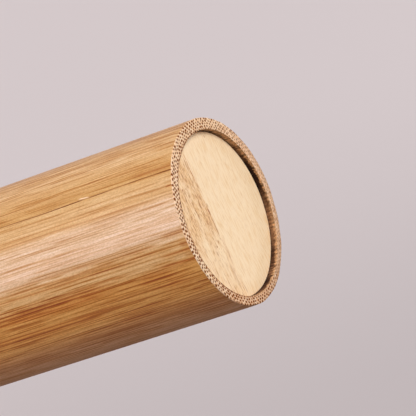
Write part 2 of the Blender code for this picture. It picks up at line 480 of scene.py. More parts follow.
# %% The skin
def culm_skin():
    """The scraped and oiled skin."""
    wood = Bamboo("culm_skin")
    line_strength = wood.banded(LINE_BANDS)

    first_row, first_halo = lines_on(wood, 0)
    second_row, second_halo = lines_on(wood, 1)
    fibres = wood.streaks(0.28, 12.0, detail=1.5, roughness=0.6)
    zones = wood.streaks(1.6, 30.0, shift=9.0)
    grit = wood.streaks(0.14, 0.35, shift=1.0, detail=1.0)
    lines = first_row + second_row * 0.8
    dark_fibres = wood.rise(fibres, 0.52, 0.68) * (wood.rise(zones, 0.38, 0.66) * 0.6 + 0.4)

    colour = wood.stain(dark_fibres, wood.banded(SKIN_BANDS), FIBRE_SHADE)
    colour = wood.stain(wood.rise(fibres, 0.48, 0.32) * 0.8, colour, FIBRE_LIGHT)
    colour = wood.stain((first_halo + second_halo) * line_strength, colour, LINE_HALO)
    colour = wood.stain(lines * line_strength, colour, LINE_SHADE)
    colour = wood.stain(wood.rise(grit, 0.35, 0.65), colour, GRIT_SHADE)
    stain, spread = veins_on(wood)
    colour = wood.stain(spread * 0.7, colour, VEIN_HALO)
    colour = wood.stain(stain * (first_row * 0.4 + 0.8), colour, VEIN_SHADE)
    crack = crack_on(wood)
    # The crack is darkened partly by a stain and partly by painted shadow in its groove
    colour = wood.stain(crack, colour, CRACK_STAIN_AND_SHADOW)
    colour = wood.blend(splinter_on(wood), colour, SPLINTER_PALE)

    roughness = lines * 0.06 + grit * 0.12 + crack * 0.5 + 0.35
    height = fibres * -0.5 + grit * 0.4 - lines * 0.5
    coat = {"Specular IOR Level": 0.3, "Coat Weight": 0.1 - crack * 0.1, "Coat Roughness": 0.3}
    return wood.surface(colour, roughness, height, 0.008, **coat)


skin = culm_skin()

# %% [markdown]
# ## End grain
# Across the stem bamboo is tan, full of dark dots. Each dot is a bundle of fibres that runs the length of
# the stem. They stand in rows that follow the skin, 0.4 mm apart, and 0.7 mm apart in a row, each row
# shifted by half a step. A voronoi pattern would lose that order, so the dots are laid out directly: the
# depth gives the row, the angle gives the place in the row, and white noise nudges each dot.

# %% Fibre bundles
BUNDLES_ROUND = 120
ROW_PITCH = 0.40
FIRST_ROW_DEPTH = 0.04
BUNDLE_HALF_WIDTH = 0.25
BUNDLE_HALF_DEPTH = 0.205
BUNDLE_NUDGE = 0.36
BUNDLE_EDGE = (1.05, 0.6)


def bundles_on(wood):
    """How much a point lies in a fibre bundle, and how large that bundle is, both from 0 to 1."""
    depth = (wood.depth - FIRST_ROW_DEPTH) / ROW_PITCH
    row = wood.maths("FLOOR", depth)
    number, off = wood.nearest_bundle(row, BUNDLES_ROUND)
    sideways, inwards, size = wood.chances(number, row)
    pitch_here = wood.radius * (math.tau / BUNDLES_ROUND)
    across = (off + (sideways - 0.5) * BUNDLE_NUDGE) * pitch_here / BUNDLE_HALF_WIDTH
    down = (depth - row - 0.5 + (inwards - 0.5) * BUNDLE_NUDGE) * (ROW_PITCH / BUNDLE_HALF_DEPTH)
    away = wood.maths("SQRT", across * across + down * down) / (size * 0.4 + 0.8)
    return wood.rise(away, *BUNDLE_EDGE), size


print("the bundles are", round(math.tau * CULM_RADIUS / BUNDLES_ROUND, 2), "mm apart in the outer rows")

# %% End grain's colours
SEAT_RADIUS = 12.75
BUNDLE_BROWN = (0.22, 0.055, 0.004)
GRAIN_SHADE = (0.74, 0.48, 0.25)
GRAIN_PALE = (1.0, 0.80, 0.60)
CLOUD_SHADE = (0.96, 0.93, 0.90)
OUTER_SHADE = (0.78, 0.76, 0.74)
ARRIS_BROWN = (0.44, 0.22, 0.08)
DARK_PITH = (0.76, 0.44, 0.25)
PITH_BROWN = (0.82, 0.50, 0.30)
DULL_BISCUIT = (0.90, 0.56, 0.34)
BISCUIT = (0.98, 0.67, 0.425)
# From 236 to 300 degrees, on the near side, these pale tones are partly the end grain's own and partly a
# painted sheen
PALE_BISCUIT_WITH_SHEEN = (1.0, 0.745, 0.50)
CREAM_WITH_SHEEN = (1.0, 0.705, 0.47)
RIM_BANDS = (
    (0, PITH_BROWN), (20, PITH_BROWN), (35, DARK_PITH), (56, PITH_BROWN), (72, DULL_BISCUIT),
    (130, DULL_BISCUIT), (160, BISCUIT), (222, BISCUIT), (236, CREAM_WITH_SHEEN), (285, CREAM_WITH_SHEEN),
    (300, PALE_BISCUIT_WITH_SHEEN), (312, BISCUIT), (330, PITH_BROWN), (360, PITH_BROWN),
)

# How strongly the dots show, how brown the inner edge is and how dull the outer part is, by angle
DOT_BANDS = (
    (0, 1.15), (20, 1.1), (40, 0.5), (60, 0.45), (115, 0.45), (140, 0.8), (165, 0.95), (180, 1.1),
    (240, 1.1), (275, 1.3), (335, 1.2), (360, 1.15),
)
ARRIS_BANDS = (
    (0, 0.5), (20, 0.3), (90, 0.0), (170, 0.0), (190, 0.5), (205, 0.75), (240, 0.7), (262, 0.85),
    (300, 0.7), (322, 0.9), (350, 1.0), (360, 0.5),
)
OUTER_BANDS = ((0, 0.3), (30, 0.8), (60, 1.0), (110, 0.9), (130, 0.5), (150, 0.0), (345, 0.0), (360, 0.3))

# How deep under the skin the dull outer part ends, and how far from the bored wall the brown edge reaches
OUTER_DEPTHS = (1.3, 0.4)
ARRIS_REACH = (0.42, 0.15)
print("the end grain has", len(RIM_BANDS), "bands of colour")


# %% End grain
def end_grain():
    """Sawn and sanded end grain, for the rims, the shoulder and the steps inside."""
    wood = Bamboo("end_grain")
    dots, tone = bundles_on(wood)
    cloud = wood.streaks(1.2, 1.2, shift=4.0)
    grit = wood.streaks(0.12, 0.12, detail=1.0)
    grains = wood.streaks(0.26, 0.26, shift=3.0, detail=2.0)
    strength = wood.banded(DOT_BANDS)
    colour = wood.stain(wood.rise(cloud, 0.35, 0.65), wood.banded(RIM_BANDS), CLOUD_SHADE)
    colour = wood.blend(wood.rise(grains, 0.46, 0.30) * 0.8, colour, GRAIN_PALE)
    colour = wood.stain(wood.rise(grains, 0.52, 0.70) * strength * 0.6, colour, GRAIN_SHADE)
    colour = wood.blend(dots * (tone * 0.3 + 0.7) * strength, colour, BUNDLE_BROWN)
    outer = wood.rise(wood.depth, *OUTER_DEPTHS) * wood.banded(OUTER_BANDS)
    colour = wood.stain(outer, colour, OUTER_SHADE)
    bored = wood.maths("SQRT", wood.x * wood.x + wood.y * wood.y)
    inner_edge = wood.rise(bored - SEAT_RADIUS + (grains - 0.5) * 0.8, *ARRIS_REACH)
    colour = wood.stain(inner_edge * wood.banded(ARRIS_BANDS), colour, ARRIS_BROWN)
    height = grit * 0.5 - dots
    return wood.surface(colour, dots * 0.25 + 0.7, height, 0.015, **{"Specular IOR Level": 0.1})


rim_grain = end_grain()

# %% [markdown]
# ## The seat of the disc, the neck and the bore
# The seat was cut by a hot, blunt tool. Its wall is rough along the fibres and scorched. Its colour goes
# from pale brown at the rim to nearly black down the wall and on the far side, which is partly scorch where
# the tool dwelt and partly painted shade in the recess. The neck and the socket are turned clean, so they
# are pale with fine rings round them. The bore was only reamed, so it is duller. All are long grain.

# %% Scorched seat, with painted shade
SHADED_SCORCH = (0.05, 0.018, 0.008)
SHADED_CHAR = (0.035, 0.014, 0.008)
SHADED_UMBER = (0.13, 0.055, 0.025)
TOASTED = (0.30, 0.15, 0.075)
LIGHT_TOAST = (0.42, 0.21, 0.10)
PALE_TOAST = (0.66, 0.38, 0.20)
BRIGHT_TOAST = (0.84, 0.54, 0.30)
SEAT_EDGE = (0.72, 0.42, 0.22)
STRIPE_BROWN = (0.05, 0.02, 0.01)
STREAK_SHADE = (0.40, 0.34, 0.30)
STREAK_LIGHT = (1.35, 1.3, 1.25)
# These tones are partly scorch and partly painted shade, darkest on the far side from 17 to 117 degrees
SCORCH_AND_SHADE_BANDS = (
    (0, PALE_TOAST), (10, TOASTED), (17, SHADED_UMBER), (27, SHADED_SCORCH), (35, TOASTED), (44, SHADED_UMBER), (52, SHADED_UMBER),
    (64, TOASTED), (76, LIGHT_TOAST), (88, TOASTED), (98, SHADED_SCORCH), (108, SHADED_CHAR), (117, SHADED_SCORCH),
    (130, LIGHT_TOAST), (146, BRIGHT_TOAST), (182, BRIGHT_TOAST), (200, PALE_TOAST),
    (230, LIGHT_TOAST), (345, LIGHT_TOAST), (360, PALE_TOAST),
)

# How far down the wall the pale edge reaches before the scorch and the painted shade start, in mm, by angle
PALE_EDGE_REACH = (
    (0, 0.3), (12, 0.0), (45, 0.0), (62, 0.15), (78, 0.2), (88, 0.0), (105, 0.0), (120, 0.15),
    (135, 0.4), (175, 0.6), (345, 0.4), (360, 0.3),
)
SCORCH_AND_SHADE_FADE = 0.5


def scorched_and_shaded_seat():
    """The wall round the disc, cut along the bundles, which show as stripes."""
    wood = Bamboo("scorched_and_shaded_seat")
    stripes, tone = bundles_on(wood)
    streaks = wood.streaks(0.34, 0.6, detail=2.0)
    from_rim = wood.maths("MINIMUM", wood.below_end, wood.z)
    below_edge = from_rim - wood.banded(PALE_EDGE_REACH) + (streaks - 0.5) * 0.9
    # Pale at the rim and darker down the wall towards the disc: scorch with painted shade in the recess
    colour = wood.blend(wood.rise(below_edge, 0.0, SCORCH_AND_SHADE_FADE), SEAT_EDGE, wood.banded(SCORCH_AND_SHADE_BANDS))
    colour = wood.stain(wood.rise(streaks, 0.50, 0.68) * 0.8, colour, STREAK_SHADE)
    colour = wood.stain(wood.rise(streaks, 0.46, 0.32) * 0.8, colour, STREAK_LIGHT)
    colour = wood.blend(stripes * (tone * 0.4 + 0.2), colour, STRIPE_BROWN)
    return wood.surface(colour, 0.85, streaks, 0.10, **{"Specular IOR Level": 0.2})


seat_wall = scorched_and_shaded_seat()

# %% Turned and reamed wood
TURNED = (0.74, 0.49, 0.27)
REAMED = (0.66, 0.44, 0.25)
BROAD_SHADE = (0.86, 0.80, 0.72)
RING_WANDER = 0.6


def cut_wood(name, colour, ring_pitch, ring_depth):
    """Long grain that a turning tool or a reamer has cut, with its rings."""
    wood = Bamboo(name)
    fibres = wood.streaks(0.5, 14.0, shift=2.0, detail=2.0)
    broad = wood.streaks(3.0, 40.0, shift=5.0)
    toned = wood.stain(wood.rise(fibres, 0.5, 0.72) * 0.8, colour, FIBRE_SHADE)
    toned = wood.stain(wood.rise(broad, 0.3, 0.7) * 0.5, toned, BROAD_SHADE)
    wander = wood.streaks(4.0, 3.0) * RING_WANDER
    rings = wood.maths("SINE", (wood.z / ring_pitch + wander) * math.tau)
    height = rings * (0.5 * ring_depth) + fibres * 0.02
    return wood.surface(toned, 0.55, height, 1.0)


turned_wood = cut_wood("turned_wood", TURNED, 0.35, 0.012)
reamed_wood = cut_wood("reamed_wood", REAMED, 0.9, 0.03)

# %% [markdown]
# ## The discs' finish
# Each disc is sawn from a strip of the culm's inner wall, which is paler and plainer than the skin. Its
# grain is straight and fine. On the cap's disc a browner part, from nearer the skin, takes up a third of
# the face, with coarser streaks and a few dark specks where vessels were cut.

# %% Disc strip
STRIP = (1.0, 0.75, 0.485)
STRIP_BROWN = (0.86, 0.54, 0.26)
PALE_STREAK = (0.88, 0.76, 0.56)
BROWN_STREAK = (0.60, 0.33, 0.12)
FLECK_SHADE = (0.56, 0.36, 0.19)
MARK_SHADE = (0.48, 0.25, 0.07)

# Where along the grain the brown part deepens towards each side of the disc, in mm from the middle
LEFT_BROWN = (4.5, -1.0)
RIGHT_BROWN = (6.0, 10.5)
GRAIN_DRIFT = 1.3


def with_the_grain(grain_angle, x, y):
    """How far a point lies along the grain, and how far across it, from the middle of the disc."""
    cosine = math.cos(math.radians(grain_angle))
    sine = math.sin(math.radians(grain_angle))
    return x * cosine + y * sine, y * cosine - x * sine


def disc_strip(name, grain_angle, boundary, marks, seed):
    """Straight grain at an angle to +X, browner beyond a boundary line this far from the middle."""
    wood = Bamboo(name)
    along, across = with_the_grain(grain_angle, wood.x, wood.y)
    drift = wood.mottle(wood.vector(along / 7.0 + seed, across / 6.0, wood.z / 9.0)) - 0.5
    bent = across + drift * GRAIN_DRIFT

    def grain(width, length, shift):
        return wood.vector(along / length + seed + shift, bent / width, wood.z / length)

    fine = wood.mottle(grain(0.28, 2.2, 0.0), detail=2.0)
    lines = wood.mottle(grain(0.20, 4.0, 3.0), detail=1.0)
    flecks = wood.mottle(grain(0.20, 0.7, 6.0), detail=1.0)
    clouds = wood.mottle(grain(2.2, 5.0, 9.0), detail=1.0)
    left = wood.rise(along, *LEFT_BROWN)
    right = wood.rise(along, *RIGHT_BROWN)
    brown = wood.rise(bent, boundary + 0.2, boundary - 0.3)
    deep = brown * (left * 0.60 + right * 0.30 + 0.30)
    seam = wood.rise(abs(bent - boundary + 0.2), 0.7, 0.2)

    colour = wood.blend(deep * wood.rise(clouds, 0.28, 0.60), STRIP, STRIP_BROWN)
    colour = wood.stain(wood.rise(fine, 0.44, 0.66) * 0.6, colour, PALE_STREAK)
    brown_lines = wood.rise(lines, 0.54, 0.64) * (deep * 0.55 + seam * (left * 0.5 + 0.3))
    colour = wood.stain(brown_lines, colour, BROWN_STREAK)
    colour = wood.stain(wood.rise(flecks, 0.54, 0.70) * (deep * 0.7 + 0.14), colour, FLECK_SHADE)
    colour = wood.blend(wood.rise(flecks, 0.46, 0.32) * deep * 0.6, colour, STRIP)
    for mark_x, mark_y, half_length, half_width, strength in marks:
        mark_along, mark_across = with_the_grain(grain_angle, mark_x, mark_y)
        lengthwise = (along - mark_along) / half_length
        sideways = (across - mark_across + (fine - 0.5) * 0.2) / half_width
        away = wood.maths("SQRT", lengthwise * lengthwise + sideways * sideways)
        colour = wood.stain(wood.rise(away, 1.2, 0.3) * strength, colour, MARK_SHADE)
    return wood.surface(colour, fine * 0.1 + 0.52, fine + flecks * 0.5, 0.008)


# %% Specks on the discs
# Each mark: x, y, half its length and half its width in mm, strength
CAP_MARKS = (
    (-11.8, 2.0, 0.3, 0.2, 0.5), (-8.3, -5.6, 1.3, 0.40, 0.3), (-5.15, -4.6, 0.6, 0.20, 0.75),
    (-3.3, -4.9, 0.6, 0.25, 0.6), (-1.95, -3.7, 0.45, 0.20, 0.6), (-0.9, -3.75, 0.6, 0.20, 0.9),
    (1.3, -3.4, 1.7, 0.18, 0.6), (2.4, -3.25, 0.7, 0.16, 0.5), (0.3, -4.3, 1.6, 0.14, 0.35),
    (-2.3, -5.7, 0.8, 0.22, 0.75), (-7.25, -7.9, 0.8, 0.18, 0.6), (-5.6, -6.4, 1.0, 0.15, 0.4),
    (-2.75, -7.5, 0.5, 0.17, 0.55), (-5.15, -9.1, 0.25, 0.25, 0.9), (-3.5, -9.1, 0.4, 0.25, 0.55),
    (-2.1, -9.4, 0.8, 0.18, 0.5), (-0.9, -6.3, 0.25, 0.2, 0.4), (-0.65, -7.15, 0.6, 0.17, 0.5),
    (3.7, -4.0, 0.4, 0.2, 0.75), (4.3, -4.8, 0.25, 0.2, 0.85), (4.9, -6.25, 0.4, 0.2, 0.6),
    (5.35, -5.3, 0.5, 0.25, 0.45), (6.2, -2.25, 0.5, 0.2, 0.4), (9.2, -2.5, 2.2, 0.45, 0.3),
    (11.6, -0.7, 0.9, 0.14, 0.4), (7.9, -7.2, 0.9, 0.2, 0.35),
)
BASE_MARKS = ((3.1, 6.4, 0.4, 0.15, 0.6), (-6.0, 4.9, 0.3, 0.14, 0.5), (-2.5, -3.0, 0.8, 0.10, 0.4))
cap_strip = disc_strip("cap_disc_strip", 11.5, -3.3, CAP_MARKS, 0.0)
base_strip = disc_strip("base_disc_strip", 64.0, -9.0, BASE_MARKS, 20.0)

# %% [markdown]
# ## Turning a length of culm
# Both tubes are turned shapes: round inside, and the culm's own outline outside. A profile of corners
# goes once round the wall. Each corner says how far its edge is eased, which surface starts there and how
# finely that surface is divided. Blender's Screw modifier would spin such a profile, but here every ring
# of points is shaped by angle as well, for the outline, the scraped flats, the crack and the rough seat,
# so the rings are made in a loop.

# %% Profiles
SKIN, GRAIN, SEAT, TURNED_FACE, REAMED_FACE = range(5)
CULM_FINISHES = (skin, rim_grain, seat_wall, turned_wood, reamed_wood)
EASE_STEPS = 5


class Corner:
    """A corner of a profile: its place, how its edge is eased, and the surface that starts there."""

    def __init__(self, radius, height, ease, surface, stride, on_skin=0.0, rough=0.0, edge=GRAIN):
        self.place = Vector((radius, height))
        self.ease = ease
        self.surface = surface
        self.edge = edge
        self.stride = stride
        self.traits = Vector((on_skin, rough))

    def towards(self, other):
        """Where the straight side to another corner starts."""
        return self.place + self.ease * (other.place - self.place).normalized()


def stations_of(corners):
    """The rings of a closed profile, each (radius, height, surface after it, skin share, roughness)."""
    stations = []
    for index, corner in enumerate(corners):
        before = corners[index - 1]
        after = corners[(index + 1) % len(corners)]
        start = corner.towards(before)
        end = corner.towards(after)
        for step in range(EASE_STEPS if corner.ease else 0):
            share = step / EASE_STEPS
            point = start.lerp(corner.place, share).lerp(corner.place.lerp(end, share), share)
            stations.append((*point, corner.edge, *corner.traits))
        stop = after.towards(corner)
        pieces = max(1, round((stop - end).length / corner.stride))
        for step in range(pieces):
            share = step / pieces
            traits = corner.traits.lerp(after.traits, share)
            stations.append((*end.lerp(stop, share), corner.surface, *traits))
    return stations


print("an eased corner has", EASE_STEPS + 1, "rings")

# %% [markdown]
# The rings need more columns at the crack than elsewhere, and each column near it sways with the crack,
# so that the groove stays sharp without a dense mesh all round. Relief only takes wood away. The skin
# lies inside the outline, and the rim's outer edge is worn here and there. The seat lies outside the
# bored circle: it is rough, swells a little on one side, and flares below the rim, most of all on the
# other.

# %% Columns
COLUMN_STEP = 0.5
CRACK_COLUMNS = (-1.0, -0.6, -0.36, -CRACK_HALF_WIDTH, -0.07, 0.07, CRACK_HALF_WIDTH, 0.36, 0.6, 1.0)
SWAY_REACH = 4.0


def column_angles():
    """The columns' angles in degrees: even all round, and close together across the crack."""
    even = [step * COLUMN_STEP for step in range(round(360 / COLUMN_STEP))]
    clear = [angle for angle in even if abs(angle - CRACK_ANGLE) > CRACK_COLUMNS[-1] + 0.1]
    return sorted(clear + [CRACK_ANGLE + away for away in CRACK_COLUMNS])


ANGLES = column_angles()
print(len(ANGLES), "columns round the culm")

# %% Relief
# Sizes are in mm and angles in degrees
RIM_EASE = 0.15
SKIN_MARGIN = 0.012
FLAT_DEPTH = 0.035
FLAT_WIDTH = 4.5
FLAT_LENGTH = 70.0
SEAT_ROUGHNESS = 0.08
SEAT_LUMPS = (0.9, 2.5)
SEAT_GRIT = (0.3, 1.0)
LEAN_POWER = 4
SEAT_SWELL = 0.18
SEAT_SWELL_ANGLE = 20.0
SEAT_RELIEF = 0.05
SEAT_FLARE = 0.11
SEAT_FLARE_ANGLE = 168.0
SEAT_FLARE_START = 0.45
RIM_WEAR = 0.14
RIM_WEAR_WIDTH = 3.0
RIM_WEAR_SPREAD = 0.2


def lean_to(angle, crest):
    """1 at the crest's angle, falling to 0 a quarter turn from it."""
    return max(0.0, math.cos(math.radians(angle - crest))) ** LEAN_POWER


def round_noise(angle, height, width, length, seed):
    """Noise from -1 to 1 that joins up round the culm."""
    turned = math.radians(angle)
    across = CULM_RADIUS / width
    return noise.noise((across * math.cos(turned) + seed, across * math.sin(turned), height / length))


def skin_relief(angle, height, away_from_crack):
    """How far the scraped skin lies inside the culm's outline."""
    flats = FLAT_DEPTH * (0.5 + 0.5 * round_noise(angle, height, FLAT_WIDTH, FLAT_LENGTH, 0.0))
    groove = max(0.0, 1 - abs(away_from_crack) / CRACK_HALF_WIDTH)
    return SKIN_MARGIN + flats + CRACK_DEPTH * groove * crack_strength(END_Z - height)


def seat_relief(angle, height):
    """How far the rough seat lies outside the bored circle, at full roughness."""
    coarse = round_noise(angle, height, *SEAT_LUMPS, 5.0)
    fine = round_noise(angle, height, *SEAT_GRIT, 11.0)
    swell = SEAT_SWELL * lean_to(angle, SEAT_SWELL_ANGLE)
    flare = SEAT_RELIEF + SEAT_FLARE * lean_to(angle, SEAT_FLARE_ANGLE)
    flare *= min(1.0, min(height, END_Z - height) / SEAT_FLARE_START)
    return SEAT_ROUGHNESS * max(0.0, 0.4 + 0.5 * coarse + 0.3 * fine) + swell + flare


def rim_wear(angle):
    """How far the rim's outer edge is worn back, in mm."""
    return RIM_WEAR * max(0.0, round_noise(angle, 0, RIM_WEAR_WIDTH, 1.0, 4.0) + RIM_WEAR_SPREAD)


# %% [markdown]
# The finishes are worked out in space and need no flat map. But a model that leaves Blender carries its
# patterns as pictures, which need one. Left alone, Blender would give the dull bore as many pixels as the
# skin. So the wall is unrolled here like veneer: each surface is a strip across the map, as long as the
# culm is round, and as tall as its figure is fine. A short piece's strip is cut in two, one above the
# other.

# %% Flat maps
FLAT_MAP = "OFBake"
MAP_EDGE = 0.006
FIGURE_FINENESS = {SKIN: 1.0, GRAIN: 3.4, SEAT: 2.2, TURNED_FACE: 0.6, REAMED_FACE: 0.22}


def unrolled(stations, turns):
    """For each ring: where the strip below it starts and ends up the map, its cuts, and a cut's step."""
    lengths = [(Vector(after[:2]) - Vector(here[:2])).length * FIGURE_FINENESS[here[2]]
               for here, after in zip(stations, stations[1:] + stations[:1])]
    runs = []
    for ring, station in enumerate(stations):
        if not ring or stations[ring - 1][2] != station[2]:
            runs.append([])
        runs[-1].append(ring)
    cuts = [turns if stations[run[0]][2] in (SKIN, GRAIN) else 1 for run in runs]
    drawn = sum(cut * sum(lengths[ring] for ring in run) for run, cut in zip(runs, cuts))
    scale = (1 - MAP_EDGE * (2 + sum(cuts))) / drawn
    strips = []
    low = MAP_EDGE
    for run, cut in zip(runs, cuts):
        tall = scale * sum(lengths[ring] for ring in run)
        start = low
        for ring in run:
            strips.append((start, start + scale * lengths[ring], cut, tall + MAP_EDGE))
            start += scale * lengths[ring]
        low += cut * (tall + MAP_EDGE)
    return strips


def strip_corners(strip, column, wide):
    """The four corners of one face on the map, in the order of the face's own corners."""
    start, stop, cut, step = strip
    level = column * cut // wide
    across = (1 - 2 * MAP_EDGE) / (1 + cut / wide)
    left = MAP_EDGE + across * (column * cut / wide - level)
    right = left + across * cut / wide
    low, high = start + level * step, stop + level * step
    return [(left, low), (left, high), (right, high), (right, low)]


print("a strip of skin is", round(math.tau * CULM_RADIUS), "mm long")


# %% Points on the rings
def ring_point(station, angle):
    """Where one column meets one ring, in mm."""
    radius, height, _, skin_share, rough = station
    away = angle - CRACK_ANGLE
    sway = crack_angle(height) - CRACK_ANGLE
    place = angle + sway * max(0.0, 1 - abs(away) / SWAY_REACH)
    outward = Vector((math.cos(math.radians(place)), math.sin(math.radians(place)), 0))
    level = Vector((0, 0, height))
    bored = level + outward * (radius + rough * seat_relief(place, height))
    if not skin_share:
        return bored
    reach = radius + culm_stand_off(place) - skin_relief(place, height, away)
    if min(height, END_Z - height) < RIM_EASE:
        reach -= rim_wear(place)
    return bored.lerp(level + outward * reach + CULM_CENTRE, skin_share)


# %% Mesh objects
SHARP_ANGLE = math.radians(40)


def mesh_object(name, points, faces, surfaces, finishes, flat_places=None):
    """A mesh object from points in mm, smooth up to its edges, with its faces' places on a flat map."""
    mesh = bpy.data.meshes.new(name)
    mesh.from_pydata([point * MM for point in points], [], faces)
    for finish in finishes:
        mesh.materials.append(finish)
    mesh.polygons.foreach_set("material_index", surfaces)
    if flat_places:
        flat_map = mesh.uv_layers.new(name=FLAT_MAP)
        flat_map.uv.foreach_set("vector", [part for place in flat_places for part in place])
    mesh.shade_smooth()
    mesh.set_sharp_from_angle(angle=SHARP_ANGLE)
    mesh.validate()
    made = bpy.data.objects.new(name, mesh)
    bpy.context.scene.collection.objects.link(made)
    print(name, "has", len(points), "points and", len(faces), "faces")
    return made


# %% A turned length of culm
def turned_culm(name, corners, turns):
    """Take a profile round the culm and make it a piece with a finish for each surface."""
    stations = stations_of(corners)
    strips = unrolled(stations, turns)
    points = [ring_point(station, angle) for station in stations for angle in ANGLES]
    wide = len(ANGLES)
    faces = []
    surfaces = []
    places = []
    for ring, station in enumerate(stations):
        here = ring * wide
        below = (ring + 1) % len(stations) * wide
        for column in range(wide):
            beside = (column + 1) % wide
            faces.append((here + column, below + column, below + beside, here + beside))
            surfaces.append(station[2])
            places += strip_corners(strips[ring], column, wide)
    return mesh_object(name, points, faces, surfaces, CULM_FINISHES, places)


# %% [markdown]
# ## The cap
# The cap is the short length of culm: the rim and the disc's seat at its top, a bore, and below them the
# socket that slides over the neck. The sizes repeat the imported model's, so the fit is the same. The
# seat's wall is divided finely only as far down as its roughness can be seen.

# %% The cap's culm
SEAM_EASE = 0.2
INNER_EASE = 0.1
LEAD_IN = 0.5
SEAT_DEPTH = 5.12
ROUGH_DEPTH = 1.2
BORE_RADIUS = 11.3
SOCKET_RADIUS = 12.95
SOCKET_DEPTH = 12.3
CAP_SKIN_STRIDE = 1.0
ROUGH_STRIDE = 0.15
FACE_STRIDE = 0.35
PLAIN_STRIDE = 4.0

socket_end = CAP_EDGE_Z + SOCKET_DEPTH
cap_culm = turned_culm("cap_culm", [
    Corner(mean_radius(END_Z), END_Z, RIM_EASE, SKIN, CAP_SKIN_STRIDE, on_skin=1),
    Corner(mean_radius(CAP_EDGE_Z), CAP_EDGE_Z, SEAM_EASE, GRAIN, FACE_STRIDE, on_skin=1),
    Corner(SOCKET_RADIUS, CAP_EDGE_Z, LEAD_IN, TURNED_FACE, PLAIN_STRIDE, edge=TURNED_FACE),
    Corner(SOCKET_RADIUS, socket_end, 0, GRAIN, FACE_STRIDE),
    Corner(BORE_RADIUS, socket_end, INNER_EASE, REAMED_FACE, PLAIN_STRIDE),
    Corner(BORE_RADIUS, END_Z - SEAT_DEPTH, 0, GRAIN, FACE_STRIDE),
    Corner(SEAT_RADIUS, END_Z - SEAT_DEPTH, 0, SEAT, PLAIN_STRIDE),
    Corner(SEAT_RADIUS, END_Z - ROUGH_DEPTH, 0, SEAT, ROUGH_STRIDE, rough=1),
    Corner(SEAT_RADIUS, END_Z, INNER_EASE, GRAIN, FACE_STRIDE, rough=1, edge=SEAT),
], turns=2)
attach(cap_culm, "cap")
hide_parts("cap_tube")

# %% [markdown]
# ## The body
# The body is the long length of the same culm. Its neck is turned down from the wall, so that the skin of
# the cap and of the body meet flush over it. Its foot has a rim and a seat like the cap's.

# %% The body's culm
NECK_LENGTH = 12.0
NECK_RADIUS = 12.8
BODY_SKIN_STRIDE = 4.0

shoulder = MOUTH_Z - NECK_LENGTH
body_culm = turned_culm("body_culm", [
    Corner(NECK_RADIUS, MOUTH_Z, LEAD_IN, TURNED_FACE, PLAIN_STRIDE, edge=TURNED_FACE),
    Corner(NECK_RADIUS, shoulder, 0, GRAIN, FACE_STRIDE),
    Corner(mean_radius(shoulder), shoulder, SEAM_EASE, SKIN, BODY_SKIN_STRIDE, on_skin=1),
    Corner(mean_radius(0), 0, RIM_EASE, GRAIN, FACE_STRIDE, on_skin=1),
    Corner(SEAT_RADIUS, 0, INNER_EASE, SEAT, ROUGH_STRIDE, rough=1, edge=SEAT),
    Corner(SEAT_RADIUS, ROUGH_DEPTH, 0, SEAT, PLAIN_STRIDE, rough=1),
    Corner(SEAT_RADIUS, SEAT_DEPTH, 0, GRAIN, FACE_STRIDE),
    Corner(BORE_RADIUS, SEAT_DEPTH, 0, REAMED_FACE, PLAIN_STRIDE),
    Corner(BORE_RADIUS, MOUTH_Z, INNER_EASE, GRAIN, FACE_STRIDE),
], turns=1)
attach(body_culm, "body")
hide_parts("body_tube")

# %% [markdown]
# ## The end discs
# Each disc is sawn out with a hole saw and its edges are just broken with sandpaper. It sits on the step
# of its seat, a millimetre below the rim, with a film of glue far down in the gap. It is a little oval
# and not quite centred, so the dark gap round it changes in width.

# %% A disc's shape
DISC_RECESS = 1.0
DISC_RADIUS = 12.63
DISC_THICKNESS = 4.0
DISC_EASE = 0.1
DISC_EASE_STEPS = 6
DISC_COLUMNS = 240
DISC_FACE_STRIDE = 1.25
DISC_WANDER = 0.04
DISC_WANDER_WIDTH = 6.0
DISC_OVAL = 0.20


def disc_rings(low):
    """A disc's rings of points, (radius, height), from the middle of its top to the middle of its foot."""
    flat_radius = DISC_RADIUS - DISC_EASE
    flat_count = round(flat_radius / DISC_FACE_STRIDE)
    halves = []
    for height, inwards in ((low + DISC_THICKNESS, -1), (low, 1)):
        half = [(flat_radius * step / flat_count, height) for step in range(flat_count)]
        for step in range(DISC_EASE_STEPS + 1):
            turn = math.radians(90 * step / DISC_EASE_STEPS)
            inset = DISC_EASE * (1 - math.sin(turn))
            half.append((DISC_RADIUS - inset, height + inwards * DISC_EASE * (1 - math.cos(turn))))
        halves.append(half)
    return halves[0] + halves[1][::-1]


def disc_point(radius, height, angle, seed, off_centre):
    """A point of a disc that was sawn a little out of round."""
    wander = DISC_WANDER * (0.5 + 0.5 * round_noise(angle, 0, DISC_WANDER_WIDTH, 1.0, seed))
    oval = DISC_OVAL * (0.5 + 0.5 * math.cos(math.radians(2 * angle)))
    reach = radius + (oval - wander) * radius / DISC_RADIUS
    turn = math.radians(angle)
    return Vector((off_centre + reach * math.cos(turn), reach * math.sin(turn), height))


print("a disc is", DISC_THICKNESS, "mm thick and lies", DISC_RECESS, "mm below the rim")

# %% A disc's flat map
# Where a disc's two faces and its side lie on it: a circle's middle and radius, and a strip's span
TOP_CIRCLE = (0.40, 0.59, 0.385)
FOOT_CIRCLE = (0.895, 0.86, 0.085)
SIDE_STRIP = (0.02, 0.17)


def disc_place(rings, face_ring, ring, column):
    """Where a corner of a face lies on the map. The face lies between a ring and the next one."""
    side = len(rings) // 2 - 1
    if face_ring == side:
        across = MAP_EDGE + (1 - 2 * MAP_EDGE) * column / DISC_COLUMNS
        return across, SIDE_STRIP[1 if ring == side else 0]
    x, y, size = TOP_CIRCLE if face_ring < side else FOOT_CIRCLE
    turn = math.tau * column / DISC_COLUMNS
    reach = size * rings[ring][0] / DISC_RADIUS
    return x + reach * math.cos(turn), y + reach * math.sin(turn)


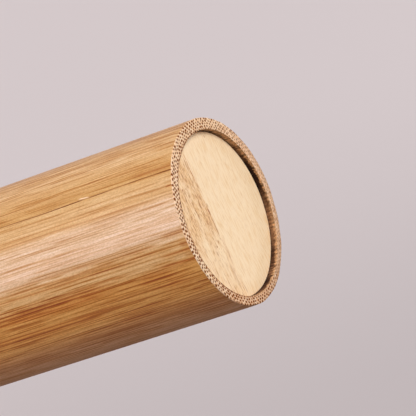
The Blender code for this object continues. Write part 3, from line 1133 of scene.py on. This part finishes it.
# %% The two discs
def end_disc(name, low, finish, seed, off_centre=0.0):
    """A disc that lies from the height low up, rimmed with eased edges. It may sit off centre along X."""
    rings = disc_rings(low)
    last = len(rings) - 1
    points = [disc_point(0, low + DISC_THICKNESS, 0, seed, off_centre)]
    for radius, height in rings[1:last]:
        for column in range(DISC_COLUMNS):
            points.append(disc_point(radius, height, 360 * column / DISC_COLUMNS, seed, off_centre))
    points.append(disc_point(0, low, 0, seed, off_centre))

    def number(ring, column):
        """A point's number. The middles of the top and the foot are one point each."""
        if 0 < ring < last:
            return 1 + (ring - 1) * DISC_COLUMNS + column % DISC_COLUMNS
        return len(points) - 1 if ring else 0

    faces = []
    places = []
    for column in range(DISC_COLUMNS):
        for ring in range(last):
            corners = [(ring, column), (ring + 1, column), (ring + 1, column + 1), (ring, column + 1)]
            if ring in (0, last - 1):
                corners.pop(3 if ring == 0 else 2)
            faces.append([number(*corner) for corner in corners])
            places += [disc_place(rings, ring, *corner) for corner in corners]
    return mesh_object(name, points, faces, [0] * len(faces), (finish,), places)


cap_disc = end_disc("cap_end_disc", END_Z - DISC_RECESS - DISC_THICKNESS, cap_strip, 3.0, off_centre=0.06)
base_disc = end_disc("base_end_disc", DISC_RECESS, base_strip, 8.0)
for disc, body, node in ((cap_disc, "cap", "cap_disc"), (base_disc, "body", "base_disc")):
    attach(disc, body)
    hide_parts(node)


# %% [markdown]
# ## Floor and light
# The case stands on a plain pale floor. One large soft lamp high on the left is the key. A second, low
# one in front fills the near side and draws the satin sheen down the skin, and a third lights the far
# side from behind. The world adds a little light from all round. A lamp's power follows from how bright
# it should make a white surface that faces it, so the levels can be read as shares of plain white.

# %% Floor
FLOOR_HALF = 4000.0
FLOOR_COLOUR = (0.76, 0.665, 0.675)
WHITE = (1.0, 1.0, 1.0)


def floor_finish():
    """A plain, matt, pale surface."""
    finish = Finish("floor")
    place = finish.node("TexCoord", output="Object")
    cloud = finish.mottle(place, detail=1.0)
    tone = finish.blend(cloud * 0.1, FLOOR_COLOUR, WHITE)
    return finish.surface(tone, 0.9, cloud, 0.0)


def flat_sheet(name, span, height, finish):
    """A level rectangle that isn't part of the case, from ((left, right), (front, rear)) in mm."""
    (left, right), (front, rear) = span
    outline = ((left, front), (right, front), (right, rear), (left, rear))
    corners = [Vector((x, y, height)) for x, y in outline]
    return mesh_object(name, corners, [(0, 1, 2, 3)], [0], (finish,))


floor = flat_sheet("floor", ((-FLOOR_HALF, FLOOR_HALF), (-FLOOR_HALF, FLOOR_HALF)), 0, floor_finish())

# %% Lamps
TOP = Vector((0, 0, END_Z))


def soft_lamp(name, direction, distance, size, level):
    """A square lamp that lights a white surface facing it to this level, where 1 is white."""
    data = bpy.data.lights.new(name, "AREA")
    data.shape = "SQUARE"
    data.size = size * MM
    data.energy = level * (math.pi * distance * MM) ** 2
    lamp = bpy.data.objects.new(name, data)
    bpy.context.scene.collection.objects.link(lamp)
    facing = Vector(direction).normalized()
    lamp.location = (TOP + facing * distance) * MM
    lamp.rotation_euler = facing.to_track_quat("Z", "Y").to_euler()
    lamp.visible_camera = False
    return lamp


key = soft_lamp("key", (-0.45, -0.25, 0.86), 1800, 1300, 1.0)
fill = soft_lamp("fill", (-0.25, -0.83, -0.5), 900, 450, 0.38)
back = soft_lamp("back", (0.15, 1.0, 0.05), 1500, 900, 0.45)

# The fill stands lower than the floor, so the floor is left out of what blocks its light
blockers = bpy.data.collections.new("what_blocks_the_fill")
blockers.objects.link(floor)
blockers.collection_objects[0].light_linking.link_state = "EXCLUDE"
fill.light_linking.blocker_collection = blockers

print("the lamps give", [round(lamp.data.energy, 1) for lamp in (key, fill, back)], "W")

# %% [markdown]
# A satin surface takes its darkest tones from what it mirrors. So a black card lies behind the case, on
# the right, out of the camera's sight, and keeps that side of the skin dark. It fades out towards its
# edges, because a hard edge would show as a line in the sheen.

# %% A black card
CARD_HEIGHT = 5.0
CARD_SPAN = ((-30, 720), (30, 820))
CARD_FADE = 110.0
CARD_BLACK = (0.02, 0.02, 0.02)
CARD_SPECK = (0.05, 0.04, 0.04)


def card_finish():
    """Black card that thins out to nothing towards its edges."""
    finish = Finish("black_card")
    place = finish.node("TexCoord", output="Object")
    speckle = finish.mottle(place)
    x, y, _ = [part * (1 / MM) for part in finish.split(place)]
    width, depth = CARD_SPAN
    there = finish.within(x, *width, CARD_FADE) * finish.within(y, *depth, CARD_FADE)
    tone = finish.blend(speckle * 0.1, CARD_BLACK, CARD_SPECK)
    return finish.surface(tone, 0.9, speckle, 0.0, Alpha=there)


card = flat_sheet("black_card", CARD_SPAN, CARD_HEIGHT, card_finish())
card.visible_camera = False
card.visible_shadow = False

# %% World
AMBIENT = 0.13
BACKDROP = (0.80, 0.70, 0.71)


def light_world():
    """Plain grey light from all round, and a pale backdrop where the world itself is seen or mirrored."""
    light = NodeMaker("studio", bpy.data.worlds.new("studio"))
    camera_ray = light.node("LightPath", output="Is Camera Ray")
    glossy_ray = light.node("LightPath", output="Is Glossy Ray")
    ambient = light.node("Background", {}, {"Color": (1, 1, 1, 1), "Strength": AMBIENT})
    backdrop = light.node("Background", {}, {"Color": (*BACKDROP, 1)})
    seen = light.maths("MAXIMUM", camera_ray, glossy_ray)
    sky = light.node("MixShader", {}, {0: seen, 1: ambient, 2: backdrop})
    light.node("OutputWorld", {}, {"Surface": sky})
    return light.material


bpy.context.scene.world = light_world()
bpy.context.scene.view_settings.view_transform = "Standard"
print("the world adds", AMBIENT, "of plain white from all round")
